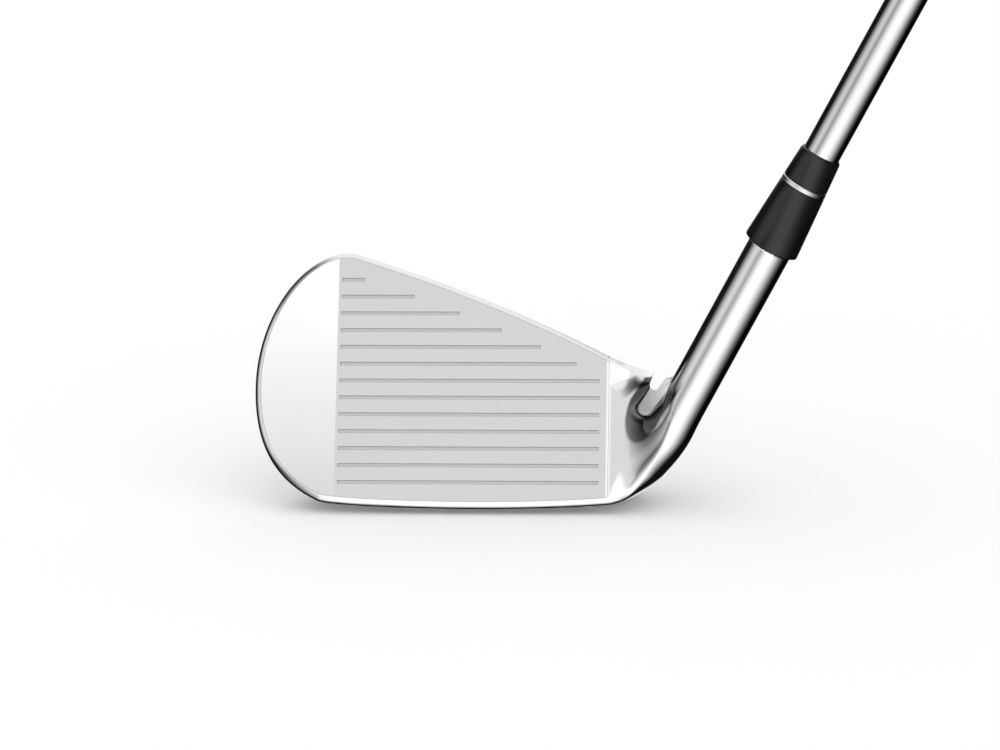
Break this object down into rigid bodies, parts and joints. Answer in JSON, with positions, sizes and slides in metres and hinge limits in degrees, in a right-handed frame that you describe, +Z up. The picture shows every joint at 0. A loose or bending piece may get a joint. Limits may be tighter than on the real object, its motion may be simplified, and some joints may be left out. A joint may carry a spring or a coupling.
{
  "type": "iron golf club",
  "caption": "Right-handed mid iron with a grooved strike face, cavity back, ferrule, stepped steel shaft and moulded rubber grip.",
  "frame": {"origin": "the point of the sole that rests on the ground at address, under the middle of the blade", "axes": "+Z up; the ground is Z = 0; -Y is the target side, which the strike face looks towards; -X is the toe; the shaft rises towards +X at a lie of 62 degrees"},
  "size_m": [0.537, 0.0436, 0.836],
  "materials": {
    "head_chrome": "bright polished plating",
    "face_blasted": "fine bead blast, matte",
    "weight_tungsten": "turned, satin",
    "adhesive_film": "foam film",
    "damper_polymer": "soft matte polymer",
    "badge_metal": "brushed and clear coated",
    "epoxy": "cured resin",
    "plug_brass": "turned",
    "ferrule_black": "polished",
    "ferrule_silver": "satin",
    "shaft_chrome": "bright plated steel",
    "band_film": "plain wrapped film",
    "tape": "paper tape",
    "grip_rubber": "moulded, textured",
    "cap_rubber": "moulded, smooth"
  },
  "bodies": {
    "root": {"head_body": "head_chrome", "face_plate": "face_blasted", "back_weight": "weight_tungsten", "badge_adhesive": "adhesive_film", "badge_damper": "damper_polymer", "badge_plate": "badge_metal", "hosel_epoxy": "epoxy", "tip_weight": "plug_brass", "ferrule_lower": "ferrule_black", "ferrule_ring": "ferrule_silver", "ferrule_upper": "ferrule_black", "shaft": "shaft_chrome", "shaft_band": "band_film", "grip_tape": "tape", "grip_sleeve": "grip_rubber", "grip_cap": "cap_rubber"}
  },
  "joints": []
}
